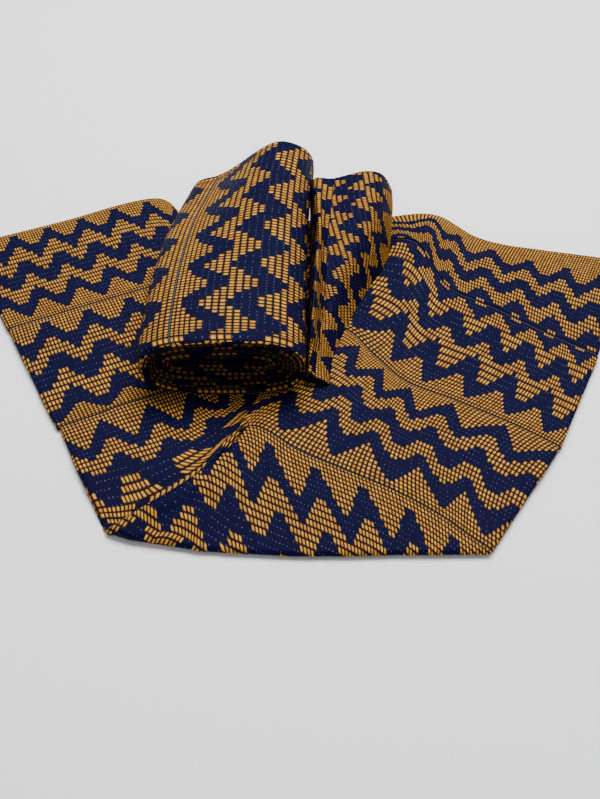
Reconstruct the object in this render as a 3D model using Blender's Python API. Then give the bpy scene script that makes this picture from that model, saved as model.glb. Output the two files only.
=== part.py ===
"""Kente cloth: four sewn strips lie spread as a fan, doubled, under the loose flat roll of their end.

Metres, +Z up, +X to the right, +Y away from the front fold. The origin is under the box's centre.
"""

import math

import bpy

# Cloth
SHEET = 0.0024  # one layer of the weave
LAYER_GAP = 0.0012  # air between the two layers where the cloth lies doubled
PIECE_GAP = 0.0003  # between two pieces that touch
FLAT_TOP = 2 * SHEET + LAYER_GAP  # height of the doubled cloth where it lies flat
SEAM_TRIM = 0.75 * PIECE_GAP  # each strip's edge stops this far from the seam's line
FRONT_TRIM = 2 * PIECE_GAP  # more on strip 4, whose rows cross its seam at a slant

# The measured plan has its own zero, so every point moves by this much
PLAN_SHIFT = (0.0050, 0.0037)

# Seam lines of the spread strips in plan. Each row is one line across the cloth, from the back
# edge to the seam between strips 3 and 4; rows run from the left end to the right end.
# Columns: back edge x, y; seam 1-2 x, y; seam 2-3 x, y; seam 3-4 x, y
SEAM_ROWS = (
    (-0.265, 0.112, -0.216, 0.020, -0.168, -0.074, -0.126, -0.154),
    (-0.192, 0.141, -0.160, 0.045, -0.127, -0.055, -0.114, -0.149),
    (-0.119, 0.171, -0.103, 0.070, -0.085, -0.037, -0.101, -0.143),
    (-0.086, 0.143, -0.062, 0.084, -0.045, -0.016, -0.071, -0.118),
    (-0.024, 0.142, -0.014, 0.098, -0.008, 0.003, -0.039, -0.082),
    (0.045, 0.143, 0.045, 0.113, 0.026, 0.012, -0.005, -0.101),
    (0.104, 0.146, 0.087, 0.117, 0.056, -0.008, 0.030, -0.121),
    (0.142, 0.119, 0.115, 0.072, 0.080, -0.028, 0.062, -0.139),
    (0.189, 0.108, 0.152, 0.042, 0.110, -0.049, 0.088, -0.153),
    (0.234, 0.099, 0.191, 0.014, 0.150, -0.074, 0.107, -0.164),
    (0.255, 0.093, 0.217, -0.008, 0.178, -0.091, 0.123, -0.173),
)
CROWN_ROW = 4  # the row along which the front panel folds over the left wing

# Strip 4 in plan, from the left corner to the right corner of the front fold.
# Columns: seam 3-4 or pleat edge x, y; front fold x, y
FRONT_ROWS = (
    (-0.1195, -0.1540, -0.1215, -0.162),
    (-0.101, -0.1430, -0.101, -0.166),
    (-0.071, -0.1180, -0.070, -0.172),
    (-0.039, -0.0820, -0.036, -0.176),
    (-0.005, -0.1010, -0.004, -0.178),
    (0.030, -0.1210, 0.028, -0.178),
    (0.062, -0.1390, 0.060, -0.177),
    (0.088, -0.1530, 0.086, -0.177),
    (0.107, -0.1640, 0.107, -0.177),
    (0.1185, -0.1705, 0.119, -0.1765),
)
FRONT_CROWN = 3  # the row at the upper end of the pleat edge
FRONT_BUNCH = 1.6  # above 1, strip 4's points lie closer together towards its upper edge
FULL_FRONT_WIDTH = 0.012  # where strip 4 is narrower, the pleat in it dies out

# Pleat: the front panel's edge lies over the left wing
PLEAT_RISE = 0.0055
PLEAT_FLANK = 0.18  # width of its steep side, in rows
PLEAT_RUN = 1.6  # length of its slope to the right, in rows
PLEAT_START = 0.35  # where across strip 3 it begins
PLEAT_AT_FOLD = 0.35  # what is left of it at the front fold
PLEAT_FADE = 0.4  # share of strip 4's width in which it falls to that
LIP_ROWS = 0.4  # rows over which strip 4's upper edge bends down along the pleat edge
LIP_DROP = 0.75  # share of the pleat's rise that it bends down by

# Soft ridges and troughs on the spread cloth.
# Columns: first end x, y; second end x, y; half width; rise, below zero for a trough
CREASES = (
    (0.092, 0.112, 0.122, 0.066, 0.010, -0.0022),
    (0.104, 0.130, 0.150, 0.096, 0.016, 0.0045),
    (0.120, 0.085, 0.165, 0.055, 0.022, 0.0018),
    (0.066, 0.030, 0.120, -0.004, 0.024, 0.0022),
    (0.100, -0.080, 0.160, -0.105, 0.022, 0.0014),
    (-0.235, 0.100, -0.150, 0.135, 0.020, 0.0022),
    (-0.190, 0.010, -0.140, 0.030, 0.020, 0.0016),
    (-0.165, -0.070, -0.140, -0.060, 0.009, -0.0012),
    (-0.140, -0.110, -0.115, -0.100, 0.018, 0.0016),
)

# Roll: sections along it. Columns: y; left x; right x; top height at the left; top height at the right
ROLL_SECTIONS = (
    (-0.045, -0.108, 0.003, 0.058, 0.060),
    (-0.038, -0.112, 0.004, 0.061, 0.062),
    (0.000, -0.111, 0.004, 0.062, 0.063),
    (0.045, -0.108, 0.005, 0.057, 0.064),
    (0.090, -0.103, 0.006, 0.048, 0.066),
    (0.130, -0.095, 0.008, 0.038, 0.067),
    (0.163, -0.087, 0.011, 0.031, 0.067),
    (0.170, -0.084, 0.011, 0.030, 0.065),
)
ROLL_REST = FLAT_TOP + PIECE_GAP
TURN_THICK = 0.0046  # the doubled cloth, pressed by the winding
TURN_PITCH = 0.0054
TURNS = 4.82
TURN_STEPS = 22  # points in one turn
FULL_HALF_HEIGHT = 0.0275  # where the roll is lower, its turns are pressed thinner
ROUNDNESS = 2.7  # 2 is an ellipse, more is squarer
TAIL_ANGLE = math.radians(-35)  # where the outermost turn leaves the roll, low on its right
STEP_IN = 0.15  # share of each turn in which it passes under the turn before
TOP_SLANT_START = -0.75  # where across the roll its top line starts to rise, in half widths
TOP_SLANT_RUN = 1.3

# Loose turn and hump: sections along Y. Columns: y; then x, z of the inner foot, the loose turn's
# top, the pocket beside it, the hump's top, its shoulder and its outer foot, z above the feet
LOOSE_SECTIONS = (
    (-0.036, 0.0031, 0.000, 0.0061, 0.014, 0.0106, 0.009, 0.016, 0.006, 0.019, 0.0030, 0.021, 0.0000),
    (-0.010, 0.0036, 0.000, 0.0081, 0.031, 0.0136, 0.015, 0.018, 0.009, 0.021, 0.0040, 0.024, 0.0000),
    (0.020, 0.0041, 0.000, 0.0096, 0.037, 0.0166, 0.017, 0.023, 0.013, 0.028, 0.0070, 0.034, 0.0000),
    (0.055, 0.0051, 0.000, 0.0116, 0.039, 0.0196, 0.026, 0.032, 0.027, 0.040, 0.0180, 0.049, 0.0000),
    (0.090, 0.0066, 0.000, 0.0136, 0.040, 0.0216, 0.033, 0.042, 0.036, 0.054, 0.0280, 0.066, 0.0000),
    (0.125, 0.0091, 0.000, 0.0166, 0.040, 0.0246, 0.036, 0.050, 0.042, 0.065, 0.0330, 0.078, 0.0000),
    (0.150, 0.0106, 0.000, 0.0181, 0.039, 0.0266, 0.037, 0.053, 0.043, 0.068, 0.0350, 0.080, 0.0000),
)
LOOSE_STEPS = 4  # points between two of its table's places

# How finely the solids are drawn
CELLS_ACROSS = 5
SHARP_ANGLE = math.radians(50)  # edges that turn more than this are drawn sharp
STEPS_A_ROW = 3
FOLD_STEPS = 4
ROLL_STEPS = 2

# Materials: base colour, roughness
NAVY = ((0.030, 0.040, 0.150), 0.85)
GOLD = ((0.560, 0.310, 0.060), 0.75)


def clear_scene():
    for obj in list(bpy.data.objects):
        bpy.data.objects.remove(obj, do_unlink=True)


def cloth_material(name, look):
    colour, roughness = look
    material = bpy.data.materials.new(name)
    material.use_nodes = True
    shader = material.node_tree.nodes["Principled BSDF"]
    shader.inputs["Base Color"].default_value = (*colour, 1.0)
    shader.inputs["Roughness"].default_value = roughness
    shader.inputs["Metallic"].default_value = 0.0
    return material


def lerp(a, b, t):
    return tuple(p + (q - p) * t for p, q in zip(a, b))


def smooth_step(t):
    t = min(max(t, 0.0), 1.0)
    return t * t * (3.0 - 2.0 * t)


def on_table(rows, place):
    """The row at a place between rows, on a smooth curve through them."""
    last = len(rows) - 1
    i = min(int(place), last - 1)
    t = place - i
    before = rows[max(i - 1, 0)]
    a, b = rows[i], rows[i + 1]
    after = rows[min(i + 2, last)]
    slopes = [((b[k] - before[k]) / 2, (after[k] - a[k]) / 2) for k in range(len(a))]
    return tuple(
        (2 * t**3 - 3 * t**2 + 1) * a[k]
        + (t**3 - 2 * t**2 + t) * slopes[k][0]
        + (3 * t**2 - 2 * t**3) * b[k]
        + (t**3 - t**2) * slopes[k][1]
        for k in range(len(a))
    )


def to_part(x, y):
    return x + PLAN_SHIFT[0], y + PLAN_SHIFT[1]


def crease_rise(x, y):
    """Height that the soft ridges and troughs add at a place of the measured plan."""
    rise = 0.0
    for ax, ay, bx, by, half_width, height in CREASES:
        length_squared = (bx - ax) ** 2 + (by - ay) ** 2
        t = ((x - ax) * (bx - ax) + (y - ay) * (by - ay)) / length_squared
        t = min(max(t, 0.0), 1.0)
        away = math.hypot(x - ax - t * (bx - ax), y - ay - t * (by - ay))
        rise += height * math.exp(-((away / half_width) ** 2))
    return rise


def pleat_rise(rows_past_crown, strength):
    """The front panel's fold: steep on its left side, a long slope on its right."""
    if rows_past_crown < 0:
        side = smooth_step(1.0 + rows_past_crown / PLEAT_FLANK)
    else:
        side = 1.0 - smooth_step(rows_past_crown / PLEAT_RUN)
    return PLEAT_RISE * side * smooth_step(strength)


def add_mesh(name, points, faces, material):
    mesh = bpy.data.meshes.new(name)
    mesh.from_pydata([tuple(p) for p in points], [], faces)
    mesh.update()
    mesh.shade_smooth()
    mesh.set_sharp_from_angle(angle=SHARP_ANGLE)
    obj = bpy.data.objects.new(name, mesh)
    obj.data.materials.append(material)
    bpy.context.scene.collection.objects.link(obj)
    return obj


def with_ways(rows):
    """The rows' points with the level way (dx, dy) from each row to the next added to each."""
    last = len(rows) - 1
    marked = []
    for i, row in enumerate(rows):
        before, after = rows[max(i - 1, 0)], rows[min(i + 1, last)]
        marked_row = []
        for point, p, q in zip(row, before, after):
            length = math.hypot(q[0] - p[0], q[1] - p[1])
            marked_row.append((*point, (q[0] - p[0]) / length, (q[1] - p[1]) / length))
        marked.append(marked_row)
    return marked


def through_sheet(before, point, after):
    """The way through the sheet at a point, in the upright plane along its level way."""
    way_x, way_y = point[3:]
    ahead = (after[0] - before[0]) * way_x + (after[1] - before[1]) * way_y
    climb = after[2] - before[2]
    size = math.hypot(ahead, climb)
    return -climb * way_x / size, -climb * way_y / size, ahead / size


def sheet_solid(name, grid, material):
    """A closed sheet around a grid of points, half its thickness to each side of it."""
    rows, columns = len(grid), len(grid[0])

    def side_points(sign):
        moved = []
        for i in range(rows):
            for j in range(columns):
                point = grid[i][j]
                way = through_sheet(grid[max(i - 1, 0)][j], point, grid[min(i + 1, rows - 1)][j])
                moved.append(tuple(p + n * sign * SHEET / 2 for p, n in zip(point, way)))
        return moved

    points = side_points(1) + side_points(-1)
    under = rows * columns

    def at(i, j):
        return i * columns + j

    faces = []
    for i in range(rows - 1):
        for j in range(columns - 1):
            quad = (at(i, j), at(i, j + 1), at(i + 1, j + 1), at(i + 1, j))
            faces.append(quad)
            faces.append(tuple(under + k for k in reversed(quad)))
    rim = [at(0, j) for j in range(columns)]
    rim += [at(i, columns - 1) for i in range(1, rows)]
    rim += [at(rows - 1, j) for j in range(columns - 2, -1, -1)]
    rim += [at(i, 0) for i in range(rows - 2, 0, -1)]
    for k, a in enumerate(rim):
        b = rim[(k + 1) % len(rim)]
        faces.append((b, a, under + a, under + b))
    return add_mesh(name, points, faces, material)


def round_fold(top_row, outward):
    """Rows of the half circle from an end row of the upper layer down to the lower layer.

    outward is 1 where the end lies along the strip's way, and -1 where it lies against it.
    """
    rows = []
    for k in range(1, FOLD_STEPS):
        angle = math.pi * k / FOLD_STEPS
        row = []
        for x, y, z, dx, dy in top_row:
            radius = (z - SHEET / 2) / 2
            out = outward * radius * math.sin(angle)
            row.append((x + dx * out, y + dy * out, z - radius * (1 - math.cos(angle)), dx, dy))
        rows.append(row)
    return rows


def lower_row(top_row):
    return [(x, y, SHEET / 2, dx, dy) for x, y, z, dx, dy in top_row]


def pulled_in(row, outward):
    """An end row moved in, so that its fold reaches the measured end."""
    moved = []
    for x, y, z, dx, dy in row:
        reach = outward * (z + SHEET / 2) / 2
        moved.append((x - dx * reach, y - dy * reach, z, dx, dy))
    return moved


def row_places():
    """Places along the seam table, closer together on the pleat's steep side."""
    steps = (len(SEAM_ROWS) - 1) * STEPS_A_ROW
    places = [i / STEPS_A_ROW for i in range(steps + 1)]
    places += [CROWN_ROW - PLEAT_FLANK, CROWN_ROW - PLEAT_FLANK / 2]
    return sorted(places)


def strip_row(strip, place):
    """One row of points across strip 1, 2 or 3, on the upper layer's middle."""
    table_row = on_table(SEAM_ROWS, place)
    back = table_row[2 * strip - 2 : 2 * strip]
    front = table_row[2 * strip : 2 * strip + 2]
    trim = SEAM_TRIM / math.dist(back, front)
    row = []
    for j in range(CELLS_ACROSS + 1):
        t = j / CELLS_ACROSS
        inside = trim + t * (1 - 2 * trim)
        x, y = lerp(back, front, inside)
        strength = (t - PLEAT_START) / (1 - PLEAT_START) if strip == 3 else 0.0
        top = FLAT_TOP + crease_rise(x, y) + pleat_rise(place - CROWN_ROW, strength)
        row.append((*to_part(x, y), top - SHEET / 2))
    return row


def make_strip(strip, material):
    """A doubled strip: lower layer, left fold, upper layer, right fold, lower layer again."""
    upper = with_ways([strip_row(strip, place) for place in row_places()])
    upper[0] = pulled_in(upper[0], -1)
    upper[-1] = pulled_in(upper[-1], 1)
    middle = len(upper) // 2
    lower = [lower_row(row) for row in upper]
    grid = lower[middle::-1]
    grid += reversed(round_fold(upper[0], -1))
    grid += upper
    grid += round_fold(upper[-1], 1)
    grid += lower[: middle + 1 : -1]
    return sheet_solid(f"strip_{strip}", grid, material)


def front_column(place):
    """One line of points from the front fold up to the seam or the pleat edge, on the upper layer."""
    back_x, back_y, front_x, front_y = on_table(FRONT_ROWS, place)
    width = math.dist((back_x, back_y), (front_x, front_y))
    trim = FRONT_TRIM / width
    on_lip = smooth_step((FRONT_CROWN - place) / LIP_ROWS)
    column = []
    for j in range(CELLS_ACROSS + 2):
        t = 1 - (1 - j / (CELLS_ACROSS + 1)) ** FRONT_BUNCH
        x, y = lerp((front_x, front_y), (back_x, back_y), t * (1 - trim))
        past = max(place - FRONT_CROWN, 0.0)
        rise = pleat_rise(past, 1.0) * (PLEAT_AT_FOLD + (1 - PLEAT_AT_FOLD) * smooth_step(t / PLEAT_FADE))
        rise *= 1 - LIP_DROP * on_lip * (j == CELLS_ACROSS + 1)
        narrow = smooth_step(width / FULL_FRONT_WIDTH)
        column.append((*to_part(x, y), FLAT_TOP + crease_rise(x, y) + rise * narrow - SHEET / 2))
    return column


def make_front_strip(material):
    """Strip 4: its lower layer runs back under it from the front fold."""
    steps = (len(FRONT_ROWS) - 1) * STEPS_A_ROW
    columns = [front_column(i / STEPS_A_ROW) for i in range(steps + 1)]
    rows = with_ways([list(row) for row in zip(*columns)])
    rows[0] = pulled_in(rows[0], -1)
    grid = [lower_row(row) for row in reversed(rows)]
    grid += reversed(round_fold(rows[0], -1))
    grid += rows
    return sheet_solid("strip_4", grid, material)


def roll_point(section, angle, inset):
    """A point of the roll's section: a squarish oval, shrunk by inset, under the section's top line."""
    y, left, right, low, high = section
    half_width = (right - left) / 2
    half_height = (low + high) / 4 - ROLL_REST / 2
    power = 2 / ROUNDNESS
    across = math.copysign(abs(math.cos(angle)) ** power, math.cos(angle))
    up = math.copysign(abs(math.sin(angle)) ** power, math.sin(angle))
    across *= (half_width - inset) / half_width
    up *= 1 - inset / FULL_HALF_HEIGHT
    top = low + (high - low) * smooth_step((across - TOP_SLANT_START) / TOP_SLANT_RUN)
    x = (left + right) / 2 + half_width * across
    z = ROLL_REST + (up + 1) / 2 * (top - ROLL_REST)
    return (*to_part(x, y), z)


def turn_inset(turns):
    """How far the winding lies inside the outermost turn, after so many turns."""
    whole = math.floor(turns)
    return TURN_PITCH * (whole + smooth_step((turns - whole - 1 + STEP_IN) / STEP_IN))


def make_roll(material):
    """The wound cloth as one spiral sheet, drawn along the roll's sections."""
    steps = round(TURNS * TURN_STEPS)
    angles = [TAIL_ANGLE + 2 * math.pi * k / TURN_STEPS for k in range(steps + 1)]
    insets = [turn_inset(k / TURN_STEPS) for k in range(steps + 1)]
    points, rings = [], []
    last = (len(ROLL_SECTIONS) - 1) * ROLL_STEPS
    for i in range(last + 1):
        section = on_table(ROLL_SECTIONS, i / ROLL_STEPS)
        ring = [roll_point(section, a, d) for a, d in zip(angles, insets)]
        ring += [roll_point(section, a, d + TURN_THICK) for a, d in zip(reversed(angles), reversed(insets))]
        rings.append(range(len(points), len(points) + len(ring)))
        points += ring
    count = len(rings[0])
    faces = []
    for first, second in zip(rings, rings[1:]):
        for k in range(count):
            n = (k + 1) % count
            faces.append((second[k], second[n], first[n], first[k]))
    for k in range(steps):
        quad = (k, k + 1, count - 2 - k, count - 1 - k)
        faces.append(tuple(rings[0][i] for i in quad))
        faces.append(tuple(rings[-1][i] for i in reversed(quad)))
    return add_mesh("roll", points, faces, material)


def loose_row(table_row):
    """One section of the loose turn and the hump, as a smooth line through the table's places."""
    y, places = table_row[0], table_row[1:]
    corners = [(places[k], places[k + 1]) for k in range(0, len(places), 2)]
    steps = (len(corners) - 1) * LOOSE_STEPS
    row = []
    for i in range(steps + 1):
        x, z = on_table(corners, i / LOOSE_STEPS)
        foot = FLAT_TOP + crease_rise(x, y) + PIECE_GAP + SHEET / 2
        row.append((*to_part(x, y), foot + max(z, 0.0), 1.0, 0.0))
    return row


def make_loose_turn(material):
    steps = (len(LOOSE_SECTIONS) - 1) * ROLL_STEPS
    sections = [loose_row(on_table(LOOSE_SECTIONS, i / ROLL_STEPS)) for i in range(steps + 1)]
    grid = [list(row) for row in zip(*reversed(sections))]
    return sheet_solid("loose_turn", grid, material)


def main():
    clear_scene()
    for strip in (1, 2, 3):
        make_strip(strip, cloth_material(f"strip_{strip}_cloth", GOLD if strip % 2 else NAVY))
    make_front_strip(cloth_material("strip_4_cloth", NAVY))
    make_roll(cloth_material("roll_cloth", NAVY))
    make_loose_turn(cloth_material("loose_turn_cloth", GOLD))


main()
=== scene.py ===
"""Kente cloth: the woven surface of the spread strips, the loose turn and the roll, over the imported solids.

Metres, in the frame of the solids. The tables in plan are measured from a point CAMERA_BACK ahead of
the camera's foot, and PLAN_SHIFT moves them into the frame.
"""

import math

import bpy
import numpy as np
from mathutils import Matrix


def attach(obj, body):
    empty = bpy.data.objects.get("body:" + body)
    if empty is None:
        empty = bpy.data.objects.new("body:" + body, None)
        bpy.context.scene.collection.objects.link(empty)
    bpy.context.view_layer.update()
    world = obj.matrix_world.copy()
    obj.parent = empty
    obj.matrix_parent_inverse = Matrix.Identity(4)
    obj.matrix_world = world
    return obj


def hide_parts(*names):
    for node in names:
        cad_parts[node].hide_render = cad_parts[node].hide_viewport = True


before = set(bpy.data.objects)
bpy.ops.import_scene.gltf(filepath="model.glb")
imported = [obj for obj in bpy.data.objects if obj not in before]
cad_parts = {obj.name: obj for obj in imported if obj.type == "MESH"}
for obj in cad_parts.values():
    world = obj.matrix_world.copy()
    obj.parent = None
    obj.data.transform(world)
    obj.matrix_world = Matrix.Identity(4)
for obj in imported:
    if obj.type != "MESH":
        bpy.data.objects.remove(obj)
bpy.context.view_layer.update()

# Cloth
FLAT_TOP = 0.0060  # height of the doubled cloth where it lies flat
LOWER_LAYER = 0.0012  # height of its lower layer
STRIP_WIDTH = 0.100
PLAN_SHIFT = (0.0050, 0.0037)

# Seam lines of the spread strips in plan. Each row is one line across the cloth, from the back
# edge to the seam between strips 3 and 4; rows run from the left end to the right end.
# Columns: back edge x, y; seam 1-2 x, y; seam 2-3 x, y; seam 3-4 x, y
SEAM_ROWS = (
    (-0.265, 0.112, -0.216, 0.020, -0.168, -0.074, -0.1275, -0.151),
    (-0.192, 0.141, -0.160, 0.045, -0.127, -0.055, -0.114, -0.149),
    (-0.119, 0.171, -0.103, 0.070, -0.085, -0.037, -0.101, -0.143),
    (-0.086, 0.143, -0.062, 0.084, -0.045, -0.016, -0.071, -0.118),
    (-0.024, 0.142, -0.014, 0.098, -0.006, 0.010, -0.0371, -0.0772),
    (0.045, 0.143, 0.045, 0.113, 0.030, 0.0225, -0.0014, -0.0944),
    (0.1065, 0.1490, 0.090, 0.118, 0.0555, -0.008, 0.0344, -0.1125),
    (0.142, 0.119, 0.112, 0.068, 0.0756, -0.0314, 0.0672, -0.1306),
    (0.189, 0.108, 0.150, 0.039, 0.1097, -0.0496, 0.0918, -0.1482),
    (0.234, 0.099, 0.190, 0.0106, 0.150, -0.073, 0.108, -0.163),
    (0.255, 0.093, 0.217, -0.006, 0.177, -0.092, 0.1215, -0.1745),
)
CROWN_ROW = 4  # the row along which the front panel folds over the left wing

# The front fold in plan. Columns: x, y
FRONT_FOLD = (
    (-0.1400, -0.1500),
    (-0.1230, -0.1595),
    (-0.1090, -0.1650),
    (-0.0890, -0.1685),
    (-0.0640, -0.1740),
    (-0.0360, -0.1760),
    (-0.0040, -0.1780),
    (0.0280, -0.1780),
    (0.0600, -0.1770),
    (0.0860, -0.1770),
    (0.1190, -0.1765),
    (0.1400, -0.1760),
)

# Pleat: the front panel's edge lies over the left wing
PLEAT_FOOT = (-0.1245, -0.1600)  # in plan, the lower end of its edge
PLEAT_BOW = 0.0085  # how far the edge bows out towards the viewer
PLEAT_RISE = 0.0055
PLEAT_FLANK = 0.18  # width of its steep side, in rows
PLEAT_RUN = 1.6  # length of its slope to the right, in rows
PLEAT_START = 0.35  # where across strip 3 it begins
PLEAT_LAPS = (0.0045, 0.0038)  # how far its steep side bulges out at the foot and the top
PLEAT_RADIUS = 0.0035  # of its rounded edge on strip 4
PLEAT_CREST = 0.0028  # extra height just inside that edge
PLEAT_SLOPE = 0.055  # width of the slope down from that edge
PLEAT_VALLEY = 0.0036  # how far the left wing sinks beside the edge
UNDER_PLEAT = 0.12  # of strip 3's width goes on under the edge
UNDER_PLEAT_STEP = 0.0006  # and lies this much lower
FRONT_HIDDEN = 0.075  # length of strip 4 that goes on to the left of its seam

# Soft ridges and troughs on the spread cloth.
# Columns: first end x, y; second end x, y; half width; rise, below zero for a trough
CREASES = (
    (0.092, 0.112, 0.122, 0.066, 0.010, -0.0022),
    (0.104, 0.130, 0.150, 0.096, 0.016, 0.0045),
    (0.120, 0.085, 0.165, 0.055, 0.022, 0.0018),
    (0.066, 0.030, 0.120, -0.004, 0.024, 0.0022),
    (0.100, -0.080, 0.160, -0.105, 0.022, 0.0014),
    (-0.235, 0.100, -0.150, 0.135, 0.020, 0.0022),
    (-0.190, 0.010, -0.140, 0.030, 0.020, 0.0016),
    (-0.165, -0.070, -0.140, -0.060, 0.009, -0.0012),
    (-0.140, -0.110, -0.115, -0.100, 0.018, 0.0016),
)

# Roll: sections along it. Columns: y; left x; right x; top height at the left; top height at the right
ROLL_SECTIONS = (
    (-0.045, -0.108, 0.003, 0.058, 0.060),
    (-0.038, -0.112, 0.004, 0.061, 0.062),
    (0.000, -0.111, 0.004, 0.062, 0.063),
    (0.045, -0.108, 0.005, 0.057, 0.064),
    (0.090, -0.103, 0.006, 0.048, 0.066),
    (0.130, -0.095, 0.008, 0.038, 0.067),
    (0.163, -0.087, 0.011, 0.031, 0.067),
    (0.170, -0.084, 0.011, 0.030, 0.065),
)
ROLL_REST = FLAT_TOP + 0.0006
ROUNDNESS = 2.7  # 2 is an ellipse, more is squarer
FULL_HALF_HEIGHT = 0.0275  # where the roll is lower, its turns are pressed thinner
SLOPE_START, SLOPE_WIDTH = 0.75, 1.3  # where its top climbs from left to right, in half widths
TAIL_ANGLE = math.radians(-35)  # where the outermost turn leaves the roll, low on its right
SEAM_ON_ROLL = -0.0907  # x of the seam along its top, at its fourth section
WEFT_CLIMB = 0.015  # how far the weft climbs towards the back on the roll's right
INNER_PITCH = 0.0031  # from one turn of the winding to the next
INNER_TURNS = 8.4
LAYER_FOLD = 0.41 * INNER_PITCH  # radius of a doubled layer's fold at the ends of the roll

# Loose turn and hump: sections along Y. Columns: y; then x, z of the inner foot, the loose turn's
# top, the pocket beside it, the hump's top, its shoulder and its outer foot, z above the feet
LOOSE_SECTIONS = (
    (-0.036, 0.0031, 0.000, 0.0061, 0.014, 0.0106, 0.009, 0.016, 0.006, 0.019, 0.0030, 0.021, 0.0000),
    (-0.010, 0.0036, 0.000, 0.0081, 0.031, 0.0136, 0.015, 0.018, 0.009, 0.021, 0.0040, 0.024, 0.0000),
    (0.020, 0.0041, 0.000, 0.0096, 0.037, 0.0166, 0.017, 0.023, 0.013, 0.028, 0.0070, 0.034, 0.0000),
    (0.055, 0.0051, 0.000, 0.0116, 0.039, 0.0196, 0.026, 0.032, 0.027, 0.040, 0.0180, 0.049, 0.0000),
    (0.090, 0.0066, 0.000, 0.0136, 0.040, 0.0216, 0.033, 0.042, 0.036, 0.054, 0.0280, 0.066, 0.0000),
    (0.125, 0.0076, 0.000, 0.0116, 0.037, 0.0246, 0.035, 0.050, 0.042, 0.065, 0.0330, 0.078, 0.0000),
    (0.150, 0.0078, 0.000, 0.0102, 0.034, 0.0266, 0.036, 0.053, 0.043, 0.068, 0.0350, 0.080, 0.0000),
)
POCKET = 2  # the pocket's place in a section
POCKET_LAP = 4  # steps of a section's line by which the loose turn goes on under the hump's edge
ABOVE_SPREAD = 0.0004  # from the spread cloth to the feet
HUMP_JOIN = 0.045  # y where the hump's waves meet the wing's
TURN_ROWS = 13  # rows of the weave on the loose turn
HUMP_WIDTH = 0.100  # of a strip on the hump
# Which share of the weave lies at the pocket. Columns: y; share
POCKET_SHARES = (
    (-0.036, 0.999),
    (0.015, 0.96),
    (0.0375, 0.90),
    (0.0553, 0.83),
    (0.0694, 0.776),
    (0.0966, 0.70),
    (0.1215, 0.634),
    (0.150, 0.588),
)
# The wave's number up the hump and up the loose turn. Columns: y; number
HUMP_WAVES = (
    (-0.040, 7.9),
    (0.020, 5.3),
    (0.063, 3.5),
    (0.0728, 3.0),
    (0.0807, 2.5),
    (0.093, 2.0),
    (0.1026, 1.5),
    (0.114, 1.0),
    (0.124, 0.5),
    (0.133, 0.0),
    (0.155, -1.15),
)
TURN_WAVES = (
    (-0.045, 6.2),
    (0.016, 4.0),
    (0.038, 3.0),
    (0.067, 2.0),
    (0.101, 1.0),
    (0.133, 0.0),
    (0.155, -0.7),
)

# Weave. A brick is one float of the gold weft; bricks lie in rows along a strip
WAVE = 13  # bricks in one wave of the zigzags
WAVE_HEIGHT = 0.155  # of the zigzags, as a share of the weave's width
EDGE_GOLD = 0.364  # the edge teeth start this far from the strip's middle line
BAND_GOLD = (0.080, 0.232)  # a gold zigzag lies between these
CUTS = 3  # mesh cells along each side of a brick
FINER_AT_SEAMS = 0.30  # how much narrower the rows are there
FINER_ON_ROLL = 0.12
BLUNT = 1.35  # more than 1 makes the zigzags' tips blunt
ROW_COUNT = {1: 28, 2: 28, 3: 29, 4: 37, "roll": 26}
ROLL_WIDTH = 0.120  # of a strip on the roll, where it is pulled wide
ROLL_BRICK = 0.00295
RELIEF = 0.00040
NAVY_RELIEF = 0.00012
TUCK = 0.020  # of each end that is turned under with the fine weave
SINK = 0.0022  # how deep the cloth's hidden edges go down into a seam
HEM = 0.0065  # of strip 1's width, beyond its back edge on the right wing
SMALLEST_CELL = 2e-9  # twice the area of a mesh cell that is kept, in square metres

# Where the zigzags of the spread strips lie: the wave's number at length a along the strip's middle and
# at share s across it, less a half, is c0 + c1 a + c2 s + c3 a s + c4 a a + c5 s s.
# For each strip: the left wing, the right wing, and the lengths between which one turns into the other
WAVES = {
    1: (
        (-0.752, 36.185, 0.212, -11.007, -4.378, -0.203),
        (2.516, 18.695, -0.578, 0.171, 17.379, -0.489),
        0.17,
        0.36,
    ),
    2: (
        (-0.184, 29.0, 0.2, -11.8, 10.0, -0.18),
        (3.763, 3.322, 2.823, -6.385, 39.413, 0.887),
        0.11,
        0.24,
    ),
    3: (
        (-0.351, 29.046, 0.064, -33.811, 0.0, 0.0),
        (-2.111, 40.772, 4.371, -13.147, -21.636, -1.234),
        0.12,
        0.13,
    ),
    4: (
        (-1.049, 28.486, -2.142, 0.0, 0.0, 0.0),
        (-1.049, 28.486, -2.142, 0.0, 0.0, 0.0),
        0.0,
        0.1,
    ),
}
# How the weave's width is spread over the strip that shows: pairs of share of the weave, share of the
# strip, for the left wing and the right wing. Below 0 and above 1 it is hidden in the seam
SPREADS = {
    1: (
        ((-0.16, -0.16), (1.0, 1.0)),
        ((-0.16, 0.0), (0.345, 0.51), (0.84, 1.0), (1.0, 1.16)),
    ),
    2: (
        ((0.0, 0.0), (0.2, 0.215), (0.5, 0.515), (0.8, 0.865), (1.0, 1.0)),
        ((0.0, -0.16), (0.19, 0.03), (0.35, 0.17), (0.5, 0.385), (0.655, 0.54), (0.80, 0.77), (1.0, 1.0)),
    ),
    3: (
        ((0.0, 0.0), (0.2, 0.29), (0.345, 0.45), (0.5, 0.62), (0.66, 0.90), (1.0, 1.30)),
        ((0.0, 0.0), (0.2, 0.2), (0.5, 0.472), (0.80, 0.745), (1.0, 1.0)),
    ),
    4: (((0.0, 0.0), (0.205, 0.312), (0.5, 0.752), (0.75, 1.15), (1.0, 1.5)),) * 2,
}
ROLL_SPREAD = ((0.0, 0.05), (0.14, 0.165), (1.0, 1.05))  # the same on the roll
ROLL_PHASE = 0.56  # the wave's number at the roll's front end

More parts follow.
